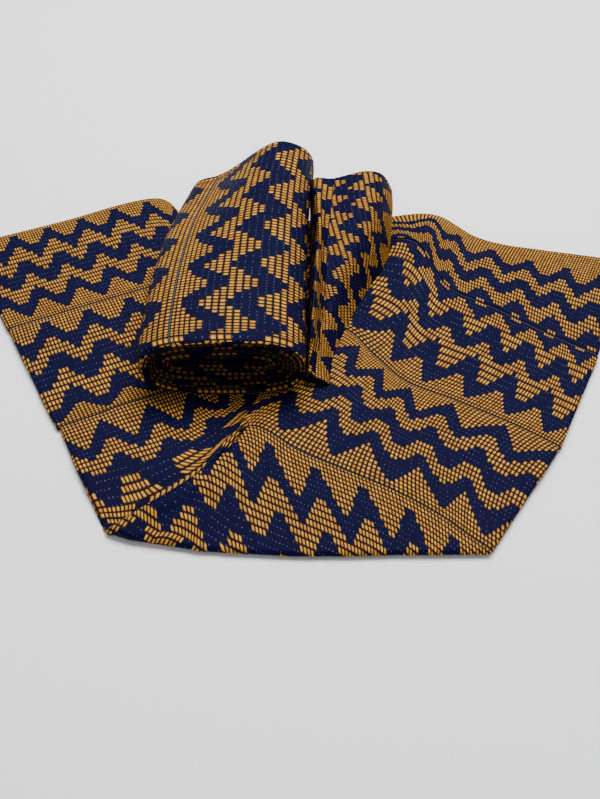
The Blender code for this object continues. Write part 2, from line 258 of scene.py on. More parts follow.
# Camera, at the photo's angle
CAMERA_BACK = 0.60  # from its foot to the origin of the tables in plan
CAMERA_HEIGHT = 0.64
CAMERA_TILT = math.radians(41)  # from straight down
FOCAL_LENGTH, PICTURE_HEIGHT = 1200, 799  # in pixels of the photo
SENSOR_WIDTH = 36.0  # in millimetres


def smooth_step(t):
    """From 0 to 1 while t goes from 0 to 1, level at both ends."""
    t = np.clip(t, 0.0, 1.0)
    return t * t * (3.0 - 2.0 * t)


def on_table(rows, places):
    """The table's columns at places between its rows, on smooth curves through them."""
    rows = np.asarray(rows, float)
    places = np.asarray(places, float)
    last = len(rows) - 1
    i = np.clip(places.astype(int), 0, last - 1)
    t = (places - i)[..., None]
    a, b = rows[i], rows[i + 1]
    slope_a = (b - rows[np.maximum(i - 1, 0)]) / 2
    slope_b = (rows[np.minimum(i + 2, last)] - a) / 2
    return (
        (2 * t**3 - 3 * t**2 + 1) * a
        + (t**3 - 2 * t**2 + t) * slope_a
        + (3 * t**2 - 2 * t**3) * b
        + (t**3 - t**2) * slope_b
    )


def crease_rise(x, y):
    """Height that the soft ridges and troughs add at places of the measured plan."""
    rise = 0.0
    for ax, ay, bx, by, half_width, height in CREASES:
        t = ((x - ax) * (bx - ax) + (y - ay) * (by - ay)) / ((bx - ax) ** 2 + (by - ay) ** 2)
        t = np.clip(t, 0.0, 1.0)
        away = np.hypot(x - ax - t * (bx - ax), y - ay - t * (by - ay))
        rise = rise + height * np.exp(-((away / half_width) ** 2))
    return rise


def pleat_rise(rows_past_crown, strength):
    """The front panel's fold: steep on its left side, a long slope on its right."""
    flank = smooth_step(1.0 + rows_past_crown / PLEAT_FLANK)
    run = 1.0 - smooth_step(rows_past_crown / PLEAT_RUN)
    return PLEAT_RISE * np.where(rows_past_crown < 0, flank, run) * smooth_step(strength)


def in_frame(x, y, z):
    """Points of the frame from places of the measured plan and heights."""
    x, y, z = np.broadcast_arrays(x + PLAN_SHIFT[0], y + PLAN_SHIFT[1], z)
    return np.stack([x, y, z], axis=-1)


def lengths_along(*columns):
    """Lengths along a line that is given by its coordinates."""
    steps = np.sqrt(sum(np.diff(c) ** 2 for c in columns))
    return np.concatenate([[0.0], np.cumsum(steps)])


def weave_share(count, row):
    """Where a row's line lies across the weave, as a share of its width. Rows are narrower at the seams."""
    t = row / count
    finer = FINER_ON_ROLL if count == ROW_COUNT["roll"] else FINER_AT_SEAMS
    return t - finer * np.sin(2 * math.pi * t) / (2 * math.pi)


def is_gold(count, brick, row, phase):
    """Whether a brick shows gold: edge teeth and two zigzags, stepped from brick to brick."""
    if count == ROW_COUNT["roll"]:
        row = np.mod(row, count)
    share = weave_share(count, row + 0.5)
    wave = np.abs(2 * np.mod((brick + 0.5) / WAVE + phase, 1.0) - 1)
    wave = np.clip(0.5 + (wave - 0.5) * BLUNT, 0.0, 1.0)
    from_middle = np.abs(share - 0.5 - WAVE_HEIGHT * (wave - 0.5))
    return (from_middle > EDGE_GOLD) | ((from_middle > BAND_GOLD[0]) & (from_middle < BAND_GOLD[1]))


def chance(*numbers):
    """A repeatable number from 0 to 1 for each set of numbers."""
    total = sum(n * k for n, k in zip(numbers, (12.9898, 78.233, 37.719)))
    return np.mod(np.sin(total) * 43758.5453, 1.0)


class Cloth:
    """Grids of weave that become one piece."""

    def __init__(self):
        self.points, self.places, self.seams, self.faces, self.threads = [], [], [], [], []
        self.count = 0

    def add(self, points, bricks, rows, row_count, phase=0.0, side=1, keep=None, dark=0.0, seam=9.0):
        """A grid (along, across) of points at these places in bricks and rows.

        side is 1 or -1: which way is out. keep says which points may be used. The painted shade, from 0 to 1,
        darkens cloth deep in the winding. seam is the distance in millimetres from the seam to the next strip.
        """
        bricks, rows = np.asarray(bricks, float), np.asarray(rows, float)
        points = points + normals(points) * side * relief(bricks, rows, row_count, phase)[..., None]
        n, m = points.shape[:2]
        index = np.arange(n * m).reshape(n, m) + self.count
        quads = np.stack([index[:-1, :-1], index[1:, :-1], index[1:, 1:], index[:-1, 1:]], axis=-1)
        if side < 0:
            quads = quads[..., ::-1]
        brick = np.floor((bricks[:-1] + bricks[1:]) / 2)[:, None]
        row = np.floor((rows[:-1] + rows[1:]) / 2)[None, :]
        gold = is_gold(row_count, brick, row, phase)
        thread = np.stack([gold * 1.0, np.broadcast_to(chance(brick, row, phase), gold.shape)], axis=-1)
        diagonals = np.cross(points[1:, 1:] - points[:-1, :-1], points[1:, :-1] - points[:-1, 1:])
        chosen = np.linalg.norm(diagonals, axis=-1) > SMALLEST_CELL
        if keep is not None:
            chosen &= keep[:-1, :-1] & keep[1:, :-1] & keep[1:, 1:] & keep[:-1, 1:]
        self.faces.append(quads[chosen])
        self.threads.append(thread[chosen])
        self.points.append(points.reshape(-1, 3))
        # the third of the places is the painted shade
        places = np.broadcast_arrays(bricks[:, None], rows[None, :], dark)
        self.places.append(np.stack(places, axis=-1).reshape(-1, 3))
        self.seams.append(np.broadcast_to(seam, (n, m)).reshape(-1))
        self.count += n * m

    def piece(self, name, material):
        """The grids as one object, with the weave's attributes for the material."""
        points, places = np.concatenate(self.points), np.concatenate(self.places)
        faces, threads = np.concatenate(self.faces), np.concatenate(self.threads)
        used, faces = np.unique(faces, return_inverse=True)
        faces = faces.reshape(-1, 4)
        points, places, seams = points[used], places[used], np.concatenate(self.seams)[used]
        mesh = bpy.data.meshes.new(name)
        mesh.from_pydata(points.tolist(), [], faces.tolist())
        set_attribute(mesh, "weave_place_and_shade", "POINT", places)
        set_attribute(mesh, "weave_gold", "FACE", threads[:, 0])
        set_attribute(mesh, "weave_tone", "FACE", threads[:, 1])
        set_attribute(mesh, "weave_seam", "POINT", seams)
        mesh.materials.append(material)
        mesh.shade_smooth()
        obj = bpy.data.objects.new(name, mesh)
        bpy.context.scene.collection.objects.link(obj)
        return obj


def set_attribute(mesh, name, domain, values):
    """Numbers or vectors on the mesh, one for each point or face."""
    kind, field = ("FLOAT", "value") if values.ndim == 1 else ("FLOAT_VECTOR", "vector")
    mesh.attributes.new(name, kind, domain).data.foreach_set(field, values.astype(np.float32).ravel())


def relief(bricks, rows, row_count, phase):
    """Bricks stand proud of the lines between them."""
    whole_brick = np.abs(bricks - np.round(bricks)) < 1e-6
    whole_row = np.abs(rows - np.round(rows)) < 1e-6
    gold = is_gold(row_count, np.floor(bricks + 1e-6)[:, None], np.floor(rows + 1e-6)[None, :], phase)
    height = np.where(gold, RELIEF * np.where(whole_brick, 0.35, 1.0)[:, None], NAVY_RELIEF)
    return np.where(whole_row[None, :], 0.0, height)


def normals(points):
    """The way out at each point of a grid."""
    along, across = np.gradient(points, axis=0), np.gradient(points, axis=1)
    normal = np.cross(across, along)
    return normal / np.maximum(np.linalg.norm(normal, axis=-1, keepdims=True), 1e-12)


def edge_dip(share):
    """The strip's edges are drawn down into the seams."""
    from_seam = np.minimum(share, 1 - share) * STRIP_WIDTH
    return -0.0010 * np.exp(-((from_seam / 0.0016) ** 2)) - np.maximum(-from_seam, 0.0)


def mesh_lines(first, last, cuts=CUTS):
    """Places of the mesh's lines from one brick or row to another."""
    return np.arange(first * cuts, last * cuts + 1) / cuts


def turn_under(x, y, top, past, out_x, out_y):
    """Moves points that are past an end's fold onto the half circle and the lower layer.

    past is how far each lies beyond the end of the flat top, where the fold begins.
    """
    radius = (top - LOWER_LAYER) / 2
    angle = np.clip(past / radius, 0.0, math.pi)
    back = np.maximum(past - math.pi * radius, 0.0)
    reach = np.where(past > 0, radius * np.sin(angle) - back, 0.0)
    down = np.where(past > 0, radius * (1 - np.cos(angle)), 0.0)
    return x + out_x * reach, y + out_y * reach, top - down


def blended(left, right, share):
    """Left at share 0, right at share 1."""
    return left * (1 - share) + right * share


class StripPlan:
    """Where the weave of a spread strip lies: its bricks and rows in lengths and shares of the strip.

    wing is 0 or 1 for the weave of the left or right wing alone.
    """

    def __init__(self, strip, length, first_row, wing=None, cuts=CUTS):
        self.row_count = ROW_COUNT[strip]
        self.rows = mesh_lines(first_row, self.row_count, cuts)
        left, right, start, stop = WAVES[strip]
        self.dense = np.linspace(-0.080, length + 0.030, 1801)
        inside = np.clip(self.dense, 0.0, length)
        turn = smooth_step((inside - start) / (stop - start))
        if wing is not None:
            turn = np.full(len(inside), float(wing))
        weave = weave_share(self.row_count, self.rows)
        self.shares, self.waves = [], []
        spreads = SPREADS[strip]
        for u in weave:
            ends = [np.interp(u, *zip(*pairs)) for pairs in spreads]
            share = blended(ends[0], ends[1], turn)
            s = np.clip(share, 0.0, 1.0) - 0.5
            waves = [
                c[0] + c[1] * self.dense + c[2] * s
                + c[3] * inside * s + c[4] * self.dense * inside + c[5] * s * s
                for c in (left, right)
            ]
            wave = blended(waves[0], waves[1], turn)
            steps = np.maximum(np.diff(wave), 0.004)
            self.waves.append(wave[0] + np.concatenate([[0.0], np.cumsum(steps)]))
            self.shares.append(share)

    def wave_at(self, length, share):
        """The wave's number at a length and share of the strip."""
        shares = np.array([np.interp(length, self.dense, s) for s in self.shares])
        waves = np.array([np.interp(length, self.dense, w) for w in self.waves])
        return float(np.interp(share, shares, waves))

    def grid(self, start, stop):
        """Bricks from length start to stop, with their lengths and shares: (along,), (along, rows) twice."""
        low = min(np.interp(start, self.dense, w) for w in self.waves)
        high = max(np.interp(stop, self.dense, w) for w in self.waves)
        bricks = mesh_lines(math.floor(low * WAVE), math.ceil(high * WAVE))
        lengths = np.stack([np.interp(bricks / WAVE, w, self.dense) for w in self.waves], axis=1)
        lengths = np.clip(lengths, start, stop)
        shares = np.stack([np.interp(lengths[:, j], self.dense, s) for j, s in enumerate(self.shares)], axis=1)
        return bricks, lengths, shares


def sunk(share):
    """How far the cloth's hidden edges lie down in a seam."""
    hidden = np.maximum(np.maximum(-share, share - 1.0), 0.0) * STRIP_WIDTH
    return np.minimum(hidden, SINK)


class Rails:
    """The two seam lines of a spread strip in plan, by the length along its middle."""

    def __init__(self, strip):
        self.places = np.linspace(0, len(SEAM_ROWS) - 1, 2001)
        self.lines = on_table(SEAM_ROWS, self.places)[:, 2 * strip - 2 : 2 * strip + 2]
        middle = (self.lines[:, 0:2] + self.lines[:, 2:4]) / 2
        self.arc = lengths_along(middle[:, 0], middle[:, 1])
        self.length = self.arc[-1]

    def at(self, lengths, share):
        """The place in plan at a length and a share of the strip's width."""
        line = [np.interp(lengths, self.arc, self.lines[:, k]) for k in range(4)]
        return blended(line[0], line[2], share), blended(line[1], line[3], share)

    def place(self, lengths):
        """The place among the rows of SEAM_ROWS."""
        return np.interp(lengths, self.arc, self.places)

    def way_out(self, share, at_start):
        """The way in plan past one end of the strip."""
        a, b = (0, 30) if at_start else (-1, -31)
        x = blended(self.lines[a, 0] - self.lines[b, 0], self.lines[a, 2] - self.lines[b, 2], share)
        y = blended(self.lines[a, 1] - self.lines[b, 1], self.lines[a, 3] - self.lines[b, 3], share)
        size = np.hypot(x, y)
        return x / size, y / size


def from_pleat(x, y):
    """How far down the pleat's edge a place is, as a share, how far left of it, and the way left."""
    pleat_top = np.array(SEAM_ROWS[CROWN_ROW][6:8])
    edge = np.subtract(PLEAT_FOOT, pleat_top)
    size = np.hypot(*edge)
    left = np.array([edge[1], -edge[0]]) / size
    along = ((x - pleat_top[0]) * edge[0] + (y - pleat_top[1]) * edge[1]) / size**2
    away = (x - pleat_top[0]) * left[0] + (y - pleat_top[1]) * left[1]
    return along, away + PLEAT_BOW * np.sin(math.pi * np.clip(along, 0.0, 1.0) ** 0.75), left


def beside_pleat(x, y):
    """From 0 to 1: how near a place is to the valley on the left of the pleat's edge."""
    along, away, _ = from_pleat(x, y)
    nearness = np.exp(-(((away - 0.003) / 0.011) ** 2))
    return nearness * smooth_step((along + 0.1) / 0.3) * smooth_step((1.0 - along) / 0.22)


def strip_points(strip, rails, lengths, share):
    """Points of a spread strip's upper layer, its end folds and the start of its lower layer."""
    start, stop = FLAT_TOP / 2, rails.length - FLAT_TOP / 2
    inside = np.clip(lengths, start, stop)
    shown = np.clip(share, 0.0, 1.0)
    place = rails.place(inside)
    under_pleat = np.zeros_like(share)
    if strip == 3:
        left_of_crown = 1.0 - smooth_step((place - CROWN_ROW + 0.5) / 0.5)
        under_pleat = np.clip(share - 1.0, 0.0, UNDER_PLEAT) * left_of_crown
    x, y = rails.at(inside, shown + under_pleat)
    top = FLAT_TOP + crease_rise(x, y) + edge_dip(shown)
    top = top - np.where(under_pleat > 0, UNDER_PLEAT_STEP, sunk(share))
    if strip == 3:
        top = top - PLEAT_VALLEY * beside_pleat(x, y)
        strength = (shown - PLEAT_START) / (1 - PLEAT_START)
        top = top + pleat_rise(place - CROWN_ROW, strength)
        turn = np.clip(1 + (place - CROWN_ROW) / PLEAT_FLANK, 0.0, 1.0)
        lap = smooth_step(strength) * np.where(turn < 0.5, *PLEAT_LAPS) * np.sin(2 * math.pi * turn)
        ahead_x, ahead_y = rails.at(inside + 0.002, shown)
        behind_x, behind_y = rails.at(inside - 0.002, shown)
        size = np.hypot(ahead_x - behind_x, ahead_y - behind_y)
        x = x + lap * (ahead_x - behind_x) / size
        y = y + lap * (ahead_y - behind_y) / size
    for at_start in (True, False):
        past = np.maximum(start - lengths if at_start else lengths - stop, 0.0)
        x, y, top = turn_under(x, y, top, past, *rails.way_out(shown, at_start))
    return in_frame(x, y, top)


def spread_strip(strip, first_row, material):
    """Strip 1, 2 or 3: doubled, with a fold at each end and its lower layer meeting in a slit."""
    cloth = Cloth()
    rails = Rails(strip)
    parts = [(None, -TUCK, rails.length + TUCK)]
    if strip == 3:
        # the weave breaks under the pleat, where the front panel turns over the left wing
        pleat = float(np.interp(CROWN_ROW - PLEAT_FLANK / 2, rails.places, rails.arc))
        parts = [(0, -TUCK, pleat), (1, pleat, rails.length + TUCK)]
    for wing, begin, end in parts:
        plan = StripPlan(strip, rails.length, first_row, wing)
        bricks, lengths, shares = plan.grid(begin, end)
        edge = shares if wing == 0 else np.minimum(shares, 1 - shares)
        if strip == 1:
            hem = np.maximum(shares, 0) + np.where(lengths > rails.length / 2, HEM, 0.09)
            edge = np.minimum(hem, 1 - shares)
        points = strip_points(strip, rails, lengths, shares)
        cloth.add(points, bricks, plan.rows, plan.row_count, seam=edge * STRIP_WIDTH * 1000)
    rows = np.arange(0, plan.row_count + 1.0)
    share = (rows / plan.row_count)[None, :]
    middle = rails.length / 2
    for begin, end in ((middle - 0.001, TUCK - 0.002), (rails.length - TUCK + 0.002, middle + 0.001)):
        ways = np.linspace(begin, end, 60)
        x, y = rails.at(ways[:, None], share)
        lower = in_frame(x, y, np.full_like(x, LOWER_LAYER))
        cloth.add(lower, ways * 400, rows, plan.row_count, side=-1)
    obj = cloth.piece(f"woven_strip_{strip}", material)
    return obj, 2 * rails.length, rails, plan


class FrontPlan:
    """The curved upper seam of strip 4 in plan, and the strip's way down from it."""

    def __init__(self):
        places = np.linspace(CROWN_ROW, len(SEAM_ROWS) - 1, 601)
        self.line = on_table(SEAM_ROWS, places)[:, 6:8]
        self.arc = lengths_along(self.line[:, 0], self.line[:, 1])
        self.length = self.arc[-1]

    def at(self, lengths, share):
        """The place in plan at a length along the seam and a share of the strip's width."""
        inside = np.clip(lengths, 0.0, self.length)
        x, y = (np.interp(inside, self.arc, self.line[:, k]) for k in (0, 1))
        chord = (self.line[-1] - self.line[0]) / np.hypot(*(self.line[-1] - self.line[0]))
        lean = 0.35 * smooth_step(inside / 0.06)
        slopes = [np.interp(inside, self.arc, np.gradient(self.line[:, k], self.arc)) for k in (0, 1)]
        way = [blended(chord[k], slopes[k], lean) for k in (0, 1)]
        size = np.hypot(*way)
        way_x, way_y = way[0] / size, way[1] / size
        beyond = lengths - inside
        down = share * STRIP_WIDTH
        return x + way_x * beyond + way_y * down, y + way_y * beyond - way_x * down


def front_strip(material):
    """Strip 4: cut off by the front fold and by the pleat's edge, both turned under."""
    cloth = Cloth()
    seam = FrontPlan()
    plan = StripPlan(4, seam.length, 0, cuts=2 * CUTS)
    bricks, lengths, share = plan.grid(-FRONT_HIDDEN, seam.length + 0.012)
    x, y = seam.at(lengths, np.maximum(share, 0.0))
    # how far past the front fold, and past the pleat's edge
    fold_x, fold_y = np.array(FRONT_FOLD).T
    past_front = np.interp(x, fold_x, fold_y) + FLAT_TOP / 2 - y
    along_edge, past_edge, left = from_pleat(x, y)
    run = np.clip(-past_edge / PLEAT_SLOPE, 0.0, 1.0)
    near_front = smooth_step((-past_front + 0.004) / 0.030)
    rise = PLEAT_RISE * (1.0 - smooth_step(run)) * (0.50 + 0.50 * near_front)
    crest = PLEAT_CREST * np.exp(-(((past_edge + 0.006) / 0.007) ** 2))
    rise = rise + crest * smooth_step(along_edge / 0.3) * near_front
    top = FLAT_TOP + crease_rise(x, y) + rise + edge_dip(np.minimum(share, 0.5))
    curl = np.maximum(past_edge + PLEAT_RADIUS, 0.0)
    angle = np.clip(curl / PLEAT_RADIUS, 0.0, math.pi)
    under = np.maximum(curl - math.pi * PLEAT_RADIUS, 0.0)
    # what lies deeper under the pleat or the front fold is left out
    keep = (past_edge < 0.012) & (past_front < 0.030) & (lengths < seam.length + 0.001)
    keep &= (past_edge < 0.0045) | (past_front < -0.004)
    reach = np.where(curl > 0, PLEAT_RADIUS * np.sin(angle) - under - curl, 0.0)
    x, y = x + left[0] * reach, y + left[1] * reach
    top = top - np.where(curl > 0, PLEAT_RADIUS * (1 - np.cos(angle)), 0.0)
    past = np.maximum(past_front, 0.0)
    y = y + past
    x, y, top = turn_under(x, y, top, past, 0.0, -1.0)
    from_seam = share * STRIP_WIDTH * 1000
    cloth.add(in_frame(x, y, top), bricks, plan.rows, plan.row_count, keep=keep, seam=from_seam)
    return cloth.piece("woven_strip_4", material), seam.length


def roll_points(sections, angles, insets=0.0):
    """Points of the roll: squarish ovals, each point with its own section, angle and inset."""
    y, left, right, low, high = (sections[..., k] for k in range(5))
    half_width = (right - left) / 2
    power = 2 / ROUNDNESS
    cosine, sine = np.cos(angles), np.sin(angles)
    across = np.sign(cosine) * np.abs(cosine) ** power * (half_width - insets) / half_width
    up = np.sign(sine) * np.abs(sine) ** power * (1 - insets / FULL_HALF_HEIGHT)
    top = low + (high - low) * smooth_step((across + SLOPE_START) / SLOPE_WIDTH)
    x = (left + right) / 2 + half_width * across
    return in_frame(x, y, ROLL_REST + (up + 1) / 2 * (top - ROLL_REST))


def roll_sections(ys):
    """The roll's sections at places along it."""
    table_y = [row[0] for row in ROLL_SECTIONS]
    return on_table(ROLL_SECTIONS, np.interp(ys, table_y, range(len(table_y))))


def turn_insets(turns):
    """How far inside the outermost turn the winding lies after a number of turns."""
    return INNER_PITCH * np.maximum(turns - 1, 0.0) * smooth_step((turns - 1) * 8)


def make_roll():
    """The outermost turn, woven finely, its strips counted from the seam along its top."""
    cloth = Cloth()
    start, stop = ROLL_SECTIONS[0][0] + LAYER_FOLD, ROLL_SECTIONS[-1][0] - LAYER_FOLD
    bricks = mesh_lines(0, math.ceil((stop - start) / ROLL_BRICK))
    middle = on_table(ROLL_SECTIONS, np.array([3.0]))
    fine = np.linspace(TAIL_ANGLE, TAIL_ANGLE + 2 * math.pi, 4001)
    loop = roll_points(middle, fine)
    around = lengths_along(loop[:, 0], loop[:, 2])
    below = loop[:, 2] < 0.035
    seam = np.argmin(np.abs(loop[:, 0] - SEAM_ON_ROLL - PLAN_SHIFT[0]) + 10 * below)
    count = ROW_COUNT["roll"]
    first_edge, last_edge = ROLL_SPREAD[0][1], ROLL_SPREAD[-1][1]
    for panel in (-2, -1, 0, 1):
        rows = mesh_lines(0, count)
        spread = np.interp(weave_share(count, rows), *zip(*ROLL_SPREAD))
        reach = around[seam] - (spread + panel) * ROLL_WIDTH
        inside = (reach >= 0) & (reach <= around[-1])
        rows, reach = rows[inside], reach[inside]
        if len(rows) < 2:
            continue
        angles = np.interp(reach, around, fine)
        # the weft climbs towards the back on the right of the roll
        ahead = (around[seam] - reach)[None, :]
        y = start + bricks[:, None] * ROLL_BRICK
        y = y + WEFT_CLIMB * smooth_step((ahead - 0.088) / 0.040) * smooth_step((y - start) / 0.05)
        points = roll_points(roll_sections(np.minimum(y, stop)), angles)
        from_edge = np.minimum(spread[inside] - first_edge, last_edge - spread[inside])
        seam_away = from_edge[None, :] * ROLL_WIDTH * 1000
        phase = ROLL_PHASE + 0.5 * (panel % 2)
        cloth.add(points, bricks, rows, count, phase, side=-1, seam=seam_away)
    return cloth


def inner_turns(cloth):
    """The winding inside the outermost turn: doubled layers, each with a rounded fold at both ends."""
    front, back = ROLL_SECTIONS[0][0], ROLL_SECTIONS[-1][0]
    fine = np.linspace(0.0, INNER_TURNS, 20001)
    middle = on_table(ROLL_SECTIONS, np.full(len(fine), 3.0))
    path = roll_points(middle, TAIL_ANGLE + 2 * math.pi * fine, turn_insets(fine))
    around = lengths_along(path[:, 0], path[:, 2])
    row = ROLL_WIDTH / ROW_COUNT["roll"]
    rows = mesh_lines(0, math.floor(around[-1] / row))[:-1]
    turns = np.interp(rows * row, around, fine)
    angles = TAIL_ANGLE + 2 * math.pi * turns
    # the layers are uneven where they show
    uneven = 0.0005 * np.sin(2.7 * angles + 1.9 * turns) + 0.0003 * np.sin(6.1 * turns + angles)
    insets = np.maximum(turn_insets(turns) + uneven * smooth_step(turns - 0.8), 0.0)
    back_in = 0.0012 * smooth_step(turns - 0.6) + 0.0005 * turns
    back_in = back_in + 0.0009 * np.sin(1.7 * angles + turns) + 0.0007 * np.sin(0.6 * angles)
    back_in = np.maximum(back_in, 0.0) * smooth_step(turns - 0.4)
    # a section through one layer: in from the end, round its fold and back
    bend = np.linspace(0.0, math.pi, 10)
    deep = np.linspace(0.016, 0.0, 12)[:-1]
    depth = np.concatenate([deep, -LAYER_FOLD * np.sin(bend), deep[::-1]])
    thick = [np.zeros(len(deep)), LAYER_FOLD * (1 - np.cos(bend)), np.full(len(deep), 2 * LAYER_FOLD)]
    inset = np.concatenate(thick)
    bricks = lengths_along(depth, inset) / ROLL_BRICK
    on_outside = (turns[None, :] < 1) & (depth[:, None] > 0) & (inset[:, None] == 0)
    # painted shade: darker the deeper a turn lies in the winding, and on the inner half of each doubled layer
    dark = smooth_step((turns - 0.75) / 0.5)[None, :] * 0.62 + 0.25 * (inset / LAYER_FOLD / 2)[:, None]
    for end, way in ((front, 1.0), (back, -1.0)):
        y = end + way * (LAYER_FOLD + back_in[None, :] + depth[:, None])
        y = np.where(on_outside, end + way * (LAYER_FOLD + 0.0002), y)
        sections = roll_sections(y)
        sections[..., 0] = y
        points = roll_points(sections, angles[None, :], insets[None, :] + inset[:, None])
        cloth.add(points, bricks, rows, ROW_COUNT["roll"], side=way, dark=np.clip(dark, 0.0, 1.0))
    # between the folds the layers lie together
    turns = 1 + np.arange(round((INNER_TURNS - 1) * 60) + 1) / 60
    insets = turn_insets(turns) + LAYER_FOLD
    ys = np.linspace(front + 0.010, back - 0.010, 40)
    points = roll_points(roll_sections(ys)[:, None, :], (TAIL_ANGLE + 2 * math.pi * turns)[None, :], insets)
    # painted shade, nearly black, on the layers that lie together between the folds
    cloth.add(points, np.arange(len(ys)) * 2.0, np.arange(len(turns)), ROW_COUNT["roll"], side=-1, dark=0.9)


def section_lines():
    """The loose turn's and hump's sections as smooth lines: ys, x and z (y, along), the pocket's place."""
    table_y = [row[0] for row in LOOSE_SECTIONS]
    ys = np.linspace(table_y[0], table_y[-1], 301)
    table = on_table(LOOSE_SECTIONS, np.interp(ys, table_y, range(len(table_y))))
    corners = table[:, 1:].reshape(len(ys), -1, 2)
    fine = np.linspace(0, corners.shape[1] - 1, 160)
    flat = np.moveaxis(corners, 1, 0).reshape(corners.shape[1], -1)
    lines = np.moveaxis(on_table(flat, fine).reshape(len(fine), len(ys), 2), 0, 1)
    return ys, lines, np.argmin(np.abs(fine - POCKET))


def above_spread(x, y, z):
    """Heights over the table from heights over the spread cloth."""
    return FLAT_TOP + crease_rise(x, y) + ABOVE_SPREAD + np.maximum(z, 0.0)


def add_hump(cloth, ys, lines, wing, rails):
    """The hump, from the pocket to its foot, where its waves join those of the wing."""
    count = ROW_COUNT[2]
    reach = lengths_across(lines)
    at_pocket = np.interp(ys, *zip(*POCKET_SHARES))
    waves = np.interp(ys, *zip(*HUMP_WAVES))
    foot_wave = wave_near(wing, rails, np.interp(HUMP_JOIN, ys, lines[:, -1, 0]), HUMP_JOIN)
    waves = waves + np.round(foot_wave - np.interp(HUMP_JOIN, ys, waves))
    rows = mesh_lines(0, count)
    first, last = math.floor(waves.min() - 1) * WAVE, math.ceil(waves.max() + 1) * WAVE
    bricks = mesh_lines(first, last)[:-1]
    y = np.full((len(bricks), len(rows)), ys[-1])
    away = np.zeros_like(y)
    kept = np.zeros(len(rows), bool)
    for j, share in enumerate(weave_share(count, rows)):
        down = (at_pocket - share) * HUMP_WIDTH
        here = (down >= 0) & (down <= reach[:, -1])
        if here.sum() > 2:
            falling = waves[here] - 1e-6 * np.arange(here.sum())
            y[:, j] = np.interp(-bricks / WAVE, -falling, ys[here])
            away[:, j] = np.interp(y[:, j], ys[here], down[here])
            kept[j] = True
    x, z = on_section(y, away, ys, lines, reach)
    keep = np.broadcast_to(kept[None, :], y.shape)
    cloth.add(in_frame(x, y, above_spread(x, y, z)), bricks, rows, count, keep=keep)


def add_loose_turn(cloth, ys, lines):
    """The loose turn, from under the hump's edge in the pocket over its top to its foot beside the roll."""
    count = ROW_COUNT[2]
    reach = lengths_across(lines)
    rows = mesh_lines(0, TURN_ROWS + 1)
    from_pocket = (weave_share(count, TURN_ROWS) - weave_share(count, rows)) * STRIP_WIDTH
    bricks = mesh_lines(-WAVE, 7 * WAVE)[:-1]
    turn_ys, waves = np.array(TURN_WAVES).T
    y = np.clip(np.interp(-bricks / WAVE, -waves, turn_ys), ys[0], ys[-1])
    y = np.repeat(y[:, None], len(rows), axis=1)
    away = np.maximum(from_pocket[None, :] + np.interp(y, ys, reach[:, POCKET_LAP]), 0.0)
    x, z = on_section(y, away, ys, lines, reach)
    lapped = np.where(from_pocket < 0, 0.0006, 0.0)[None, :]
    cloth.add(in_frame(x, y, above_spread(x, y, z) - lapped), bricks, rows, count)


def loose_sheet(material, wing, rails):
    """The loose turn beside the roll, the pocket beside it and the hump, which runs into strip 2."""
    cloth = Cloth()
    ys, lines, pocket = section_lines()
    add_hump(cloth, ys, lines[:, pocket:], wing, rails)
    add_loose_turn(cloth, ys, lines[:, pocket + POCKET_LAP :: -1])
    return cloth.piece("woven_loose_turn", material)


def lengths_across(lines):
    """Lengths along each section's line."""
    steps = np.hypot(np.diff(lines[..., 0]), np.diff(lines[..., 1]))
    return np.concatenate([np.zeros((len(lines), 1)), np.cumsum(steps, axis=1)], axis=1)


def wave_near(plan, rails, x, y):
    """The wave's number on a spread strip at a place in plan."""
    lengths = np.linspace(0.20, 0.42, 221)
    shares = np.linspace(0.0, 1.0, 101)
    px, py = rails.at(lengths[:, None], shares[None, :])
    i, j = np.unravel_index(np.argmin((px - x) ** 2 + (py - y) ** 2), px.shape)
    return plan.wave_at(lengths[i], shares[j])


def on_section(y, away, ys, lines, reach):
    """x and height at a distance along the section at y, from the line's start."""
    place = np.interp(y, ys, np.arange(len(ys)))
    i = np.clip(place.astype(int), 0, len(ys) - 2)
    t = place - i
    found = []
    for k in (i, i + 1):
        x, z = np.empty_like(y), np.empty_like(y)
        for section in np.unique(k):
            here = k == section
            at = np.minimum(away[here], reach[section, -1])
            x[here] = np.interp(at, reach[section], lines[section, :, 0])
            z[here] = np.interp(at, reach[section], lines[section, :, 1])
        found.append((x, z))
    return blended(found[0][0], found[1][0], t), blended(found[0][1], found[1][1], t)


def node(tree, kind, inputs=(), **settings):
    """A shader node, its inputs linked or set."""
    made = tree.nodes.new(kind)
    for key, value in settings.items():
        setattr(made, key, value)
    for key, value in dict(inputs).items():
        if isinstance(value, bpy.types.NodeSocket):
            tree.links.new(value, made.inputs[key])
        else:
            made.inputs[key].default_value = value
    return made


def maths(tree, operation, *values, clamp=False):
    inputs = dict(enumerate(values))
    return node(tree, "ShaderNodeMath", inputs, operation=operation, use_clamp=clamp).outputs[0]


def product(tree, *values):
    """The values multiplied together."""
    result = values[0]
    for value in values[1:]:
        result = maths(tree, "MULTIPLY", result, value)
    return result


def ramp(tree, value, low, high, start, end):
    """From start to end while the value goes from low to high."""
    inputs = {0: value, 1: low, 2: high, 3: start, 4: end}
    return node(tree, "ShaderNodeMapRange", inputs, clamp=True).outputs[0]


def mixed(tree, share, a, b):
    """Colour a at share 0, colour b at share 1."""
    return node(tree, "ShaderNodeMix", {0: share, 6: a, 7: b}, data_type="RGBA").outputs[2]


def attribute(tree, name, output="Fac"):
    return node(tree, "ShaderNodeAttribute", attribute_name=name).outputs[output]


